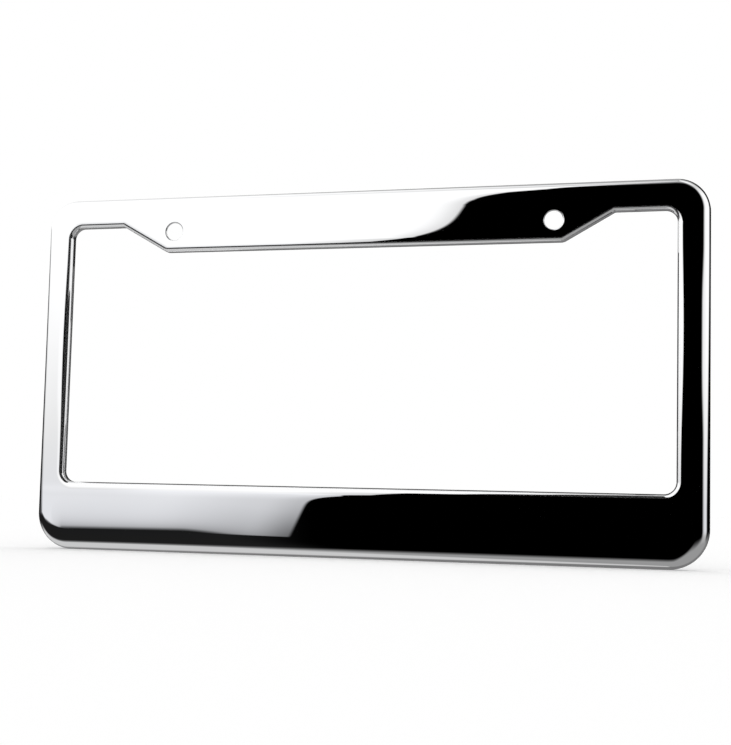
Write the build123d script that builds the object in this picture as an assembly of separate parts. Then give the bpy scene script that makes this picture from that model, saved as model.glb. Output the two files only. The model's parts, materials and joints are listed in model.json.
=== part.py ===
from build123d import *
import os
from math import cos, radians, sin, tan

# A number plate frame pressed from one polished stainless sheet, in millimetres and degrees.
# X runs to the right, Y into the depth and Z up. The face looks towards -Y.
# The origin is midway between the two screw holes, on the front of the face.

# The plate that the frame goes round
plate_width = 304.8
plate_edge_above_holes = 15.9
plate_hole_spacing = 177.8
plate_side_clearance = 1.8
plate_top_clearance = 0.25

# Sheet and height
sheet = 0.8
frame_height = 165.8

# Flat stretch that each bar keeps between its two bends
side_flat = 0.75
top_flat = 1.2
bottom_flat = 18.7

# Outer flange: a long soft shoulder, a tight bend and a straight wall
shoulder_radius = 22.0
shoulder_angle = 15.0
flange_bend_radius = 4.5
flange_wall = 2.9

# Window lip, bent the same way. Its rear edge is the seat of the plate
lip_shoulder_radius = 18.0
lip_shoulder_angle = 6.0
lip_bend_radius = 2.0
lip_wall = 1.9

# Corner radii: the outer ones where the flat meets the flange, the window's on the lip
top_corner_radius = 5.0
bottom_corner_radius = 8.0
window_corner_radius = 5.2

# Screw holes, with the rim drawn in by the punch
hole_diameter = 8.2
hole_rim_radius = 0.5

# Tab of the top bar that carries the holes: its nose lies outside each hole,
# and its root is where the flank leaves the top bar
tab_land_below_hole = 1.15
tab_nose_beyond_hole = 4.1
tab_flank_angle = 29.5
tab_nose_radius = 0.7
tab_root_radius = 1.6


class BentEdge:
    """A sheet edge that is bent back from the face, as one section swept round an outline.

    Across the section, X is the distance from the finished wall into the face,
    and Y is the depth behind the face.
    """

    def __init__(self, soft_radius, soft_angle, bend_radius, wall):
        turn = radians(soft_angle)
        self.soft_radius = soft_radius
        self.soft_angle = soft_angle
        self.bend_radius = bend_radius
        self.width = bend_radius + (soft_radius - bend_radius) * sin(turn)
        self.wall_start = soft_radius - (soft_radius - bend_radius) * cos(turn)
        self.depth = self.wall_start + wall

    def skin(self, inset):
        """One side of the sheet, from the face to the rear edge."""
        square_to_face = 270
        soft_end = square_to_face - self.soft_angle
        soft_centre = (self.width, self.soft_radius)
        bend_centre = (self.bend_radius, self.wall_start)
        soft = CenterArc(soft_centre, self.soft_radius - inset, square_to_face, -self.soft_angle)
        bend = CenterArc(bend_centre, self.bend_radius - inset, soft_end, 180 - soft_end)
        wall = Line((inset, self.wall_start), (inset, self.depth))
        return [soft, bend, wall]

    def section(self):
        """The closed section between the two sides of the sheet."""
        front = self.skin(0)
        back = self.skin(sheet)
        rear_edge = Line(front[-1] @ 1, back[-1] @ 1)
        root = Line(front[0] @ 0, back[0] @ 0)
        return make_face(front + back + [rear_edge, root])

    def swept_round(self, outline, into_face):
        """The bent edge carried round a closed outline, which marks the outside of its wall."""
        along = Vector(into_face).cross(Vector(0, 1, 0))
        start = Plane(origin=outline @ 0, x_dir=into_face, z_dir=along)
        return sweep(start * self.section(), path=outline)


flange = BentEdge(shoulder_radius, shoulder_angle, flange_bend_radius, flange_wall)
lip = BentEdge(lip_shoulder_radius, lip_shoulder_angle, lip_bend_radius, lip_wall)

# Places that follow from the sizes: widths along X, heights along Z
bends_of_a_bar = flange.width + lip.width
frame_half_width = plate_width / 2 + plate_side_clearance + sheet
frame_top = plate_edge_above_holes + plate_top_clearance + sheet
frame_bottom = frame_top - frame_height
window_half_width = frame_half_width - side_flat - bends_of_a_bar
window_top = frame_top - top_flat - bends_of_a_bar
window_bottom = frame_bottom + bottom_flat + bends_of_a_bar
tab_bottom = -(hole_diameter / 2 + hole_rim_radius + tab_land_below_hole + lip.width)
tab_nose = plate_hole_spacing / 2 + tab_nose_beyond_hole
tab_root = tab_nose + (window_top - tab_bottom) / tan(radians(tab_flank_angle))

# Outlines are drawn from the front: X to the right, and the plane's Y upwards
face_plane = Plane(origin=(0, 0, 0), x_dir=(1, 0, 0), z_dir=(0, -1, 0))


def closed_outline(right_half, radii):
    """Outline with a radius at each corner, mirrored left to right."""
    left_half = [(-x, z) for x, z in reversed(right_half)]
    line = FilletPolyline(right_half + left_half, radius=radii + radii[::-1], close=True)
    return Wire((face_plane * line).edges())


def frame_outline():
    """Outside of the flange."""
    right_half = [(frame_half_width, frame_bottom), (frame_half_width, frame_top)]
    return closed_outline(right_half, [bottom_corner_radius + flange.width, top_corner_radius + flange.width])


def window_outline():
    """Inside of the lip: the window, with the tab coming down from its top edge."""
    right_half = [
        (window_half_width, window_bottom),
        (window_half_width, window_top),
        (tab_root, window_top),
        (tab_nose, tab_bottom),
    ]
    nose_on_lip = tab_nose_radius + lip.width
    return closed_outline(right_half, [window_corner_radius, window_corner_radius, tab_root_radius, nose_on_lip])


def flat_face():
    """The flat of the sheet between the two bent edges, with its two punched holes."""
    outside = offset(make_face(frame_outline()), amount=-flange.width)
    inside = offset(make_face(window_outline()), amount=lip.width)
    holes = face_plane * GridLocations(plate_hole_spacing, 0, 2, 1) * Circle(hole_diameter / 2)
    flat = extrude(outside - inside - holes, amount=sheet, dir=(0, 1, 0))
    rims = flat.edges().filter_by(GeomType.CIRCLE).filter_by(lambda edge: edge.is_closed)
    return fillet(rims.group_by(Axis.Y)[0], hole_rim_radius)


plate_frame = flat_face()
plate_frame += flange.swept_round(frame_outline(), into_face=(0, 0, 1))
plate_frame += lip.swept_round(window_outline(), into_face=(0, 0, -1))

os.makedirs("parts", exist_ok=True)
export_step(plate_frame, "parts/plate_frame.step")
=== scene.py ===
import json
from math import atan2, ceil, copysign, cos, pi, radians, sin, tan

import bmesh
import bpy
from mathutils import Matrix, Vector


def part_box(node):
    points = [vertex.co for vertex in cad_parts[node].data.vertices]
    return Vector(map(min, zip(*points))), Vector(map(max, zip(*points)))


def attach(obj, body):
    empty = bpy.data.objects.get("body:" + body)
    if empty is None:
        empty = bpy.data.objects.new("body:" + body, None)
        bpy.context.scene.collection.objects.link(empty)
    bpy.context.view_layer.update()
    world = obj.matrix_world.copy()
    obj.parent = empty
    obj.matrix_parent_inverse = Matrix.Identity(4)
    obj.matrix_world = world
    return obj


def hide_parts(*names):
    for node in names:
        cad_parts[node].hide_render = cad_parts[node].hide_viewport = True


# A mirror-polished number plate frame, standing on a pale studio floor.
# Everything is in metres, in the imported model's own frame: X right, Y into the depth, Z up.

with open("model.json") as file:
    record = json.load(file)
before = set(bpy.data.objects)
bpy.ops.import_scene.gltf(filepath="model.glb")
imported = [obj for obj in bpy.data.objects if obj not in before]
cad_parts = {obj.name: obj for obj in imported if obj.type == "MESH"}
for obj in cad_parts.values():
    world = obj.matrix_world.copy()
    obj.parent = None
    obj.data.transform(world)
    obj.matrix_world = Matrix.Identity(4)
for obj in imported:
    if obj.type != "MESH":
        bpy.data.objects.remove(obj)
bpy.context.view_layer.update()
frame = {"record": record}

RIGHT = Vector((1, 0, 0))
INTO_DEPTH = Vector((0, 1, 0))
TO_FRONT = Vector((0, -1, 0))
UP = Vector((0, 0, 1))

mm = 0.001
quarter_turn = radians(90)

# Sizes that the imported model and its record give. The lip's rear edge is the seat of the plate
low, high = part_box("plate_frame")
mounts = {mount["name"]: mount for mount in frame["record"]["mounts"]}
screw_holes = mounts["plate_screw_holes"]["dims"]
hole_place = screw_holes["spacing_x_mm"] * mm / 2
hole_radius = screw_holes["hole_r_mm"] * mm
flange_depth = high.y - low.y
lip_depth = mounts["plate_seat"]["pos_m"][1]

# Sheet, and the flat stretch that each bar keeps between its bends
sheet = 0.8 * mm
side_flat = 0.75 * mm
top_flat = 1.2 * mm
bottom_flat = 18.7 * mm

# Corner radii: the outer ones where the flat meets the flange, the window's on the lip
top_corner_radius = 5.0 * mm
bottom_corner_radius = 8.0 * mm
window_corner_radius = 5.2 * mm

# Tab of the top bar that carries the screw holes
hole_rim_radius = 0.5 * mm
tab_land_below_hole = 1.15 * mm
tab_nose_beyond_hole = 4.1 * mm
tab_flank_angle = radians(29.5)
tab_nose_radius = 0.7 * mm
tab_root_radius = 1.6 * mm

# Crown of the side bars: their faces sink a little towards both bends, most of all at mid height
crown_sink = 0.4 * mm
crown_line = 147.2 * mm
crown_half_width = 8 * mm
crown_height = -50 * mm
crown_half_length = 62 * mm

# How finely the sheet is drawn: turn per facet on its polished and its plain side, and length per facet
polished_facet = radians(2.5)
plain_facet = radians(5)
shoulder_facets = 14
corner_facet = radians(3)
cut_edge_facet = quarter_turn / 3
hole_rim_facet = quarter_turn / 8
hole_facets = 64
run_facet = 12 * mm
flat_margin = 0.3 * mm
cut_edge_radius = 0.15 * mm
weld = 0.001 * mm

# Camera, as fitted to the photograph's straight edges
camera_place = Vector((186.0, -617.5, -124.1)) * mm
camera_turn = radians(16.27)
camera_tilt = radians(5.135)
camera_roll = radians(1.402)
camera_lens = 70.13
camera_sensor = 36.0

# Studio
floor_half_size = 6.0
left_cards_meet = (-125 * mm, 20 * mm)


class BentEdge:
    """The sheet's section where it is bent back: a soft shoulder, a tight bend and a straight wall.

    The shoulder leaves the flat without a break: it turns slowly at first, and then more and more.
    Dulled is how much of the polish the tight bend has lost, from 0 to 1.
    """

    def __init__(self, shoulder_radius, shoulder_angle, bend_radius, depth, dulled):
        angle = radians(shoulder_angle)
        parts = [step / shoulder_facets for step in range(shoulder_facets + 1)]
        self.turns = [angle * part * part * (3 - part) / 2 for part in parts]
        self.bend_radius = bend_radius
        self.bend_angle = radians(90 - shoulder_angle)
        self.width = bend_radius + (shoulder_radius - bend_radius) * sin(angle)
        self.step = shoulder_radius * sin(angle) / sum(cos(slope) for _, slope in self.slopes())
        drop = self.step * sum(sin(slope) for _, slope in self.slopes())
        self.depth = depth
        self.dulled = dulled
        self.wall = depth - drop - bend_radius * cos(angle)

    def slopes(self):
        """The turn and the slope of each facet of the shoulder."""
        return [(after - before, (after + before) / 2) for before, after in zip(self.turns, self.turns[1:])]


flange = BentEdge(
    shoulder_radius=22 * mm,
    shoulder_angle=15,
    bend_radius=4.5 * mm,
    depth=flange_depth,
    dulled=0,
)
lip = BentEdge(
    shoulder_radius=18 * mm,
    shoulder_angle=6,
    bend_radius=2 * mm,
    depth=lip_depth,
    dulled=0.1,
)

# Places that follow: widths along X, heights along Z
bends_of_a_bar = flange.width + lip.width
window_half_width = high.x - side_flat - bends_of_a_bar
window_top = high.z - top_flat - bends_of_a_bar
window_bottom = low.z + bottom_flat + bends_of_a_bar
tab_bottom = -(hole_radius + hole_rim_radius + tab_land_below_hole + lip.width)
tab_nose = hole_place + tab_nose_beyond_hole
tab_root = tab_nose + (window_top - tab_bottom) / tan(tab_flank_angle)

# Right half of each outline, from the middle of its bottom to the middle of its top: X, Z and corner radius
frame_outline = [
    (0, low.z, 0),
    (high.x, low.z, bottom_corner_radius + flange.width),
    (high.x, high.z, top_corner_radius + flange.width),
    (0, high.z, 0),
]
window_outline = [
    (0, window_bottom, 0),
    (window_half_width, window_bottom, window_corner_radius),
    (window_half_width, window_top, window_corner_radius),
    (tab_root, window_top, tab_root_radius),
    (tab_nose, tab_bottom, tab_nose_radius + lip.width),
    (0, tab_bottom, 0),
]


class Pen:
    """Carries a tip along straights and bends: a point leaves a line behind it, and a line leaves a skin."""

    def __init__(self, bm, tip, place, heading, axis):
        self.bm = bm
        self.tip = tip
        self.place = place.copy()
        self.heading = heading.copy()
        self.axis = axis

    def straight(self, length, facet=None):
        steps = ceil(length / facet) if facet else 1
        self.carry(cent=self.place, dvec=self.heading * length / steps, angle=0, steps=steps)
        self.place += self.heading * length

    def bend(self, radius, angle, facet):
        """Turns to the left of the heading, seen against the axis, or to the right for a negative angle."""
        centre = self.place + self.axis.cross(self.heading) * copysign(radius, angle)
        self.carry(cent=centre, dvec=(0, 0, 0), angle=angle, steps=round(abs(angle) / facet))
        turned = Matrix.Rotation(angle, 3, self.axis)
        self.place = centre + turned @ (self.place - centre)
        self.heading = turned @ self.heading

    def carry(self, **motion):
        drawn = bmesh.ops.spin(self.bm, geom=self.tip, axis=self.axis, **motion)
        self.tip = drawn["geom_last"]


class Section(Pen):
    """A pen that draws the sheet's section, square to X, from the front of the face round to its back."""

    def __init__(self, bm, place, heading):
        self.earlier = set(bm.verts[:] + bm.edges[:])
        self.dulled = bm.verts.layers.float["dulled"]
        point = bm.verts.new(place)
        super().__init__(bm, [point], place, heading, heading.cross(INTO_DEPTH))

    def dull(self, amount):
        """What is drawn from here on has less of the polish, down to the plain finish at 1."""
        self.tip[0][self.dulled] = amount

    def line(self):
        return [part for part in self.bm.verts[:] + self.bm.edges[:] if part not in self.earlier]


def bent_edge_section(bm, edge, wall_place, to_wall):
    """One bent edge: polished side, cut edge, then the plain side back to the face."""
    start = UP * wall_place - to_wall * (edge.width + flat_margin)
    pen = Section(bm, start, to_wall)
    pen.straight(flat_margin)
    for _, slope in edge.slopes():
        pen.heading = to_wall * cos(slope) + INTO_DEPTH * sin(slope)
        pen.straight(edge.step)
    pen.heading = to_wall * sin(edge.bend_angle) + INTO_DEPTH * cos(edge.bend_angle)
    pen.dull(edge.dulled)
    pen.bend(edge.bend_radius, edge.bend_angle, polished_facet)
    pen.straight(edge.wall - cut_edge_radius)
    pen.bend(cut_edge_radius, quarter_turn, cut_edge_facet)
    pen.straight(sheet - 2 * cut_edge_radius)
    pen.dull(1)
    pen.bend(cut_edge_radius, quarter_turn, cut_edge_facet)
    pen.straight(edge.wall - cut_edge_radius)
    pen.bend(edge.bend_radius - sheet, -edge.bend_angle, plain_facet)
    for turn, slope in reversed(edge.slopes()):
        pen.heading = -to_wall * cos(slope) - INTO_DEPTH * sin(slope)
        pen.straight(edge.step - sheet * turn)
    pen.heading = -to_wall
    pen.straight(flat_margin)
    return pen.line()


def screw_hole_section(bm):
    """The punched hole's edge, drawn below its axis: the rim that the punch drew in, and the hole's wall."""
    start = RIGHT * hole_place - UP * (hole_radius + hole_rim_radius + flat_margin)
    pen = Section(bm, start, UP)
    pen.straight(flat_margin)
    pen.bend(hole_rim_radius, quarter_turn, hole_rim_facet)
    pen.straight(sheet - hole_rim_radius - cut_edge_radius)
    pen.dull(1)
    pen.bend(cut_edge_radius, quarter_turn, cut_edge_facet)
    pen.straight(flat_margin + hole_rim_radius - cut_edge_radius)
    return pen.line()


def carry_round(bm, section, outline):
    """Carries a section along the right half of an outline."""
    corners = [(Vector((x, 0, z)), radius) for x, z, radius in outline]
    middle_of_top = corners[-1][0]
    pen = Pen(bm, section, corners[0][0], RIGHT, TO_FRONT)
    for (corner, radius), (following, _) in zip(corners[1:-1], corners[2:]):
        onward = (following - corner).normalized()
        turn = atan2(pen.heading.cross(onward).dot(pen.axis), pen.heading.dot(onward))
        pen.straight((corner - pen.place).length - radius * tan(abs(turn) / 2), run_facet)
        pen.bend(radius, turn, corner_facet)
    pen.straight((middle_of_top - pen.place).length, run_facet)


def fill_flat(bm, depth):
    """One side of the face's flat, between the bent edges and round the screw holes."""
    rims = [e for e in bm.edges if e.is_boundary and all(abs(v.co.y - depth) < weld for v in e.verts)]
    bmesh.ops.triangle_fill(bm, edges=rims, normal=TO_FRONT, use_beauty=True)


def soft_bump(distance, half_length):
    """1 in the middle, 0 from the half length on."""
    return (1 + cos(pi * min(abs(distance) / half_length, 1))) / 2


def crown_side_bars(bm):
    """Rounds the faces of the side bars, as the press leaves them. The rear edges stay in place."""
    for vertex in bm.verts:
        across = abs(vertex.co.x) - crown_line
        if across > -crown_half_width:
            sunk = crown_sink * (1 - soft_bump(across, crown_half_width))
            at_height = soft_bump(vertex.co.z - crown_height, crown_half_length)
            at_depth = max(0, 1 - vertex.co.y / lip.depth)
            vertex.co.y += sunk * at_height * at_depth


def finished_object(name, bm, material):
    """The object that a bmesh becomes, in one material."""
    mesh = bpy.data.meshes.new(name)
    bm.to_mesh(mesh)
    bm.free()
    mesh.materials.append(material)
    made = bpy.data.objects.new(name, mesh)
    bpy.context.scene.collection.objects.link(made)
    return made


def make_plate_frame():
    """The whole frame, as one closed skin round the sheet."""
    bm = bmesh.new()
    bm.verts.layers.float.new("dulled")
    carry_round(bm, bent_edge_section(bm, flange, low.z, -UP), frame_outline)
    carry_round(bm, bent_edge_section(bm, lip, window_bottom, UP), window_outline)
    bmesh.ops.spin(
        bm,
        geom=screw_hole_section(bm),
        cent=RIGHT * hole_place,
        axis=INTO_DEPTH,
        dvec=(0, 0, 0),
        angle=radians(360),
        steps=hole_facets,
        use_merge=True,
    )
    half = bm.verts[:] + bm.edges[:] + bm.faces[:]
    bmesh.ops.mirror(bm, geom=half, axis="X", merge_dist=weld)
    bmesh.ops.remove_doubles(bm, verts=bm.verts[:], dist=weld)
    fill_flat(bm, 0)
    fill_flat(bm, sheet)
    crown_side_bars(bm)
    bmesh.ops.recalc_face_normals(bm, faces=bm.faces[:])
    for face in bm.faces:
        face.smooth = True
    return finished_object("polished_frame", bm, polished_steel())


class Shade:
    """A socket of a shader tree. Arithmetic on it adds Math nodes, and node() adds any other node."""

    def __init__(self, tree, socket=None):
        self.tree = tree
        self.socket = socket

    def node(self, kind, settings=None, inputs=None, output=0):
        """A new node: its settings are made first, then its sockets get their values or links."""
        made = self.tree.nodes.new("ShaderNode" + kind)
        for name, value in (settings or {}).items():
            setattr(made, name, value)
        for name, value in (inputs or {}).items():
            if isinstance(value, Shade):
                self.tree.links.new(value.socket, made.inputs[name])
            else:
                made.inputs[name].default_value = value
        return Shade(self.tree, made.outputs[output] if made.outputs else None)

    def math(self, operation, *values):
        return self.node("Math", {"operation": operation}, dict(enumerate(values)))

    def __add__(self, other):
        return self.math("ADD", self, other)

    def __sub__(self, other):
        return self.math("SUBTRACT", self, other)

    def __rsub__(self, other):
        return self.math("SUBTRACT", other, self)

    def __mul__(self, other):
        return self.math("MULTIPLY", self, other)

    def __truediv__(self, other):
        return self.math("DIVIDE", self, other)

    def __abs__(self):
        return self.math("ABSOLUTE", self)

    __radd__ = __add__
    __rmul__ = __mul__

    def ramp(self, start, end):
        """A soft step from 0 at the start to 1 at the end."""
        soft = {"interpolation_type": "SMOOTHSTEP"}
        return self.node("MapRange", soft, {"Value": self, "From Min": start, "From Max": end})

    def held(self, least, most):
        """The value, held between two limits."""
        return self.node("Clamp", inputs={"Value": self, "Min": least, "Max": most})

    def along(self, start, end):
        """How far the value has gone from the start towards the end, and no further."""
        gone = self - start if end > start else start - self
        return gone.held(0, abs(end - start))

    def settled(self, length):
        """0 up to 0, then ever closer to 1: two thirds of the way at this length."""
        return 1 - self.math("EXPONENT", self.math("MAXIMUM", self, 0) * (-1 / length))

    def between(self, first, second):
        """The first value where this is 0, the second where it is 1."""
        return first + self * (second - first)


def clear_tree(owner):
    """An empty shader tree for a material or the world."""
    owner.use_nodes = True
    owner.node_tree.nodes.clear()
    return Shade(owner.node_tree)


def polished_steel():
    """Stainless sheet with a mirror polish on its face and the plainer rolled finish behind."""
    material = bpy.data.materials.new("polished_steel")
    make = clear_tree(material)
    place = make.node("TexCoord", output="Object")
    dulled = make.node("Attribute", {"attribute_name": "dulled"}, output="Fac")
    haze = make.node("TexNoise", inputs={"Vector": place, "Scale": 38.0, "Detail": 4.0})
    along_rolling = make.node("Mapping", inputs={"Vector": place, "Scale": (6.0, 400.0, 400.0)})
    streaks = make.node("TexNoise", inputs={"Vector": along_rolling, "Scale": 6.0, "Detail": 5.0})
    tint = make.node(
        "Mix",
        {"data_type": "RGBA"},
        {"Factor": haze, "A": (0.85, 0.853, 0.862, 1), "B": (0.895, 0.897, 0.902, 1)},
        output="Result",
    )
    roughness = 0.004 + 0.008 * haze.ramp(0.45, 0.75) + dulled * (0.2 + 0.16 * streaks)
    metallic = 1 - 0.035 * dulled.held(0, lip.dulled) / lip.dulled
    steel = make.node(
        "BsdfPrincipled",
        inputs={"Base Color": tint, "Metallic": metallic, "Roughness": roughness},
    )
    make.node("OutputMaterial", inputs={"Surface": steel})
    return material


polished_frame = make_plate_frame()
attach(polished_frame, "root")
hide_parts("plate_frame")


def make_camera():
    """A camera at the photograph's viewing angle."""
    lens = bpy.data.cameras.new("camera")
    lens.lens = camera_lens
    lens.sensor_width = camera_sensor
    lens.clip_start = 0.01
    lens.clip_end = 100
    camera = bpy.data.objects.new("camera", lens)
    bpy.context.scene.collection.objects.link(camera)
    turned = Matrix.Rotation(camera_turn, 4, "Z")
    tilted = Matrix.Rotation(quarter_turn + camera_tilt, 4, "X")
    rolled = Matrix.Rotation(camera_roll, 4, "Z")
    camera.matrix_world = Matrix.Translation(camera_place) @ turned @ tilted @ rolled
    return camera


bpy.context.scene.camera = make_camera()
bpy.context.scene.view_settings.view_transform = "Standard"


def matt_grey(name, shade):
    """A plain matt finish for the floor and the cards, from black at 0 to white at 1."""
    material = bpy.data.materials.new(name)
    make = clear_tree(material)
    matt = make.node("BsdfDiffuse", inputs={"Color": (shade, shade, shade, 1)})
    make.node("OutputMaterial", inputs={"Surface": matt})
    return material


def make_floor():
    """A plain white floor under the frame. The polish mirrors the studio's table instead of it."""
    bm = bmesh.new()
    bmesh.ops.create_grid(bm, x_segments=1, y_segments=1, size=floor_half_size)
    bmesh.ops.translate(bm, verts=bm.verts[:], vec=UP * low.z)
    floor = finished_object("floor", bm, matt_grey("floor_white", 1))
    floor.visible_glossy = False
    return floor


def make_card(name, shade, start, end, bottom, top):
    """An upright card that only the polish sees, between two places on the floor plan: dark cards paint dark
    reflected lines into the polish, a pale one a painted highlight.
    """
    bm = bmesh.new()
    corners = [(*start, bottom), (*end, bottom), (*end, top), (*start, top)]
    bm.faces.new([bm.verts.new(corner) for corner in corners])
    card = finished_object(name, bm, matt_grey(name, shade))
    card.visible_camera = False
    card.visible_diffuse = False
    card.visible_shadow = False
    return card


make_floor()

# Painted shade: a dark card that only the polish sees gives the window's lower edge its dark reflected line
make_card(
        "window_card",
        shade=0.05,
        start=(-135 * mm, 5 * mm),
        end=(140 * mm, 5 * mm),
        bottom=window_bottom,
        top=-90 * mm,
    )

# Three cards that only the polish sees paint the left lip's reflected lines, from its rear edge to its bend:
# a painted dark reflection, a painted highlight and a painted dark reflection
make_card(
        "left_lip_card",
        shade=0.15,
        start=(-136 * mm, 20 * mm),
        end=left_cards_meet,
        bottom=window_bottom,
        top=-12 * mm,
    )
make_card(
        "bright_card",
        shade=0.95,
        start=left_cards_meet,
        end=(-73 * mm, 20 * mm),
        bottom=-112 * mm,
        top=-38 * mm,
    )
make_card(
        "front_card",
        shade=0,
        start=(73 * mm, -443 * mm),
        end=(231 * mm, -121 * mm),
        bottom=-115 * mm,
        top=25 * mm,
    )

# Painted dark reflection: a dark card that only the polish sees draws the dark reflected line in the right
# lip
make_card(
        "right_lip_card",
        shade=0.02,
        start=(122 * mm, 0.5 * mm),
        end=(122 * mm, 12 * mm),
        bottom=-90 * mm,
        top=-12 * mm,
    )


# The studio that the polish mirrors, in degrees: azimuth from the front to the right, elevation from level


def left_softbox(azimuth, elevation):
    """The large softbox at the left: its right edge steps inwards lower down, and its lower edge dips."""
    step_top = 11.75
    step_foot = 10.54
    knee = 9.98
    sill = 0.24
    step = elevation.along(step_top, step_foot)
    # A slight lean high up, then the step, the knee below it and a last bend outwards at the sill
    right_edge = (
        -12.5
        + 0.05 * elevation.ramp(11.7, 12.6)
        - 0.035 * elevation.along(18, 37)
        + 0.12 * elevation.along(37, 41)
        - 0.2 * elevation.along(44.5, 52.5)
        - 0.3 * elevation.along(52.5, 90)
        - step * (0.68 + 0.5 * step * step * step)
        - 0.7 * elevation.along(step_foot, knee)
        - 0.135 * elevation.along(knee, sill)
        - elevation.ramp(1.6, 0.3)
        - 1.28 * (sill - elevation).settled(0.088)
        - 0.45 * elevation.along(sill, -1.41)
    )
    dip = azimuth.along(-23.4, 36.6)
    lower_edge = (
        -1.19
        - 0.13 * dip * dip / (dip + 1)
        - 3.8 * (-27.9 - azimuth).settled(5.2)
        + 4.1 * azimuth.ramp(-43, -63)
        + 0.8 * azimuth.ramp(-65, -95)
    )
    inward = right_edge - azimuth
    upward = elevation - lower_edge
    lower_softness = 0.08 + 1.2 * azimuth.ramp(-28, -40) + 2.5 * azimuth.ramp(-50, -70)
    right_side = inward.ramp(-0.1, 0.1)
    lower_side = (upward / lower_softness).ramp(-1, 1)
    left_side = (azimuth + 79.6 + 3.2 * elevation.held(0, 10)).ramp(-17, 17)
    glow = (
        0.38
        + 0.42 * upward.settled(0.22)
        + 0.1 * (upward / 1.2).held(0, 1)
        + 0.14 * elevation.ramp(0, 0.35)
        + 0.12 * elevation.ramp(0.3, 8)
        - 0.16 * azimuth.ramp(-24, -27) * elevation.ramp(9, 1) * elevation.ramp(-0.1, 0.6)
    )
    wider_fade = 3 * elevation.ramp(0.5, 2.5) * elevation.ramp(10.4, 9)
    dimmed_high = 0.3 * (1 - inward.ramp(-0.2, 1.2 + wider_fade))
    dimmed_low = 0.25 * (1 - inward.ramp(1.5, 6)) + 0.3 * (1 - inward.ramp(-0.2, 1.8))
    deeper_down = 0.6 + 0.85 * elevation.ramp(0.3, -1.6)
    dimmed = elevation.ramp(0.6, 0).between(dimmed_high, dimmed_low * deeper_down)
    dimmed_overhead = 0.55 * elevation.ramp(62, 90)
    return right_side * lower_side * left_side * glow * (1 - dimmed) * (1 - dimmed_overhead)


def right_softbox(azimuth, elevation):
    """The softbox at the right, which reaches furthest towards the middle a little above the horizon."""
    near_edge = 39 - 13 * elevation.ramp(3, 6) * elevation.ramp(9.8, 7.6)
    far_edge = 97 + 2.8 * elevation.held(0, 10)
    sides = (azimuth - near_edge).ramp(0, 24) * (far_edge - azimuth).ramp(-6, 12)
    glow = (0.86 + 0.045 * elevation.held(0, 6)) * (0.88 + 0.12 * azimuth.ramp(50, 80))
    return sides * elevation.ramp(-25, 0) * glow * (1 - 0.8 * elevation.ramp(40, 70))


def surroundings(azimuth, elevation):
    """The table, the ceiling and the walls between and behind the softboxes."""
    below_edge = -22 + 14 * azimuth.ramp(0, 15) + 12 * azimuth.ramp(-60, -85) - elevation
    front_table = below_edge.ramp(0, 14) * (0.34 + 0.3 * azimuth.ramp(-20, -30))
    rear_table = 0.2 * elevation.ramp(-2, -10)
    table = abs(azimuth).ramp(100, 150).between(front_table, rear_table)
    middle_ceiling = 0.45 * elevation.ramp(58, 84) * azimuth.ramp(-26, -16)
    right_ceiling = 0.5 * elevation.ramp(45, 70) * azimuth.ramp(20, 60)
    left_wall = azimuth.ramp(-95, -115) * elevation.ramp(8, 14) * azimuth.ramp(-160, -140)
    rear_wall = 0.45 * azimuth.ramp(-110, -130) * elevation.ramp(20, 50)
    walls = (left_wall + rear_wall).held(0, 1)
    dusk = 0.013 * azimuth.ramp(-18, -22) * elevation.ramp(2, -2)
    return table + middle_ceiling + right_ceiling + walls + dusk


def make_studio():
    """White all round for the camera and the floor, and a dark studio with two softboxes for the polish."""
    world = bpy.data.worlds.new("studio")
    bpy.context.scene.world = world
    make = clear_tree(world)
    direction = make.node("TexCoord", output="Generated")
    across, ahead, upward = [
        make.node("SeparateXYZ", inputs={"Vector": direction}, output=axis) for axis in "XYZ"
    ]
    azimuth = make.math("DEGREES", make.math("ARCTAN2", across, 0 - ahead))
    elevation = make.math("DEGREES", make.math("ARCSINE", upward))
    mirrored = make.node("LightPath", output="Is Glossy Ray")
    softboxes = left_softbox(azimuth, elevation) + right_softbox(azimuth, elevation)
    level = mirrored.between(1, softboxes + surroundings(azimuth, elevation))
    cool_tint = make.node(
        "Mix",
        {"data_type": "RGBA"},
        {
            "Factor": mirrored * elevation.ramp(3, -1) * elevation.ramp(-9, -3),
            "A": (1, 1, 1, 1),
            "B": (0.955, 0.965, 1, 1),
        },
        output="Result",
    )
    light = make.node("Background", inputs={"Color": cool_tint, "Strength": level})
    make.node("OutputWorld", inputs={"Surface": light})


make_studio()
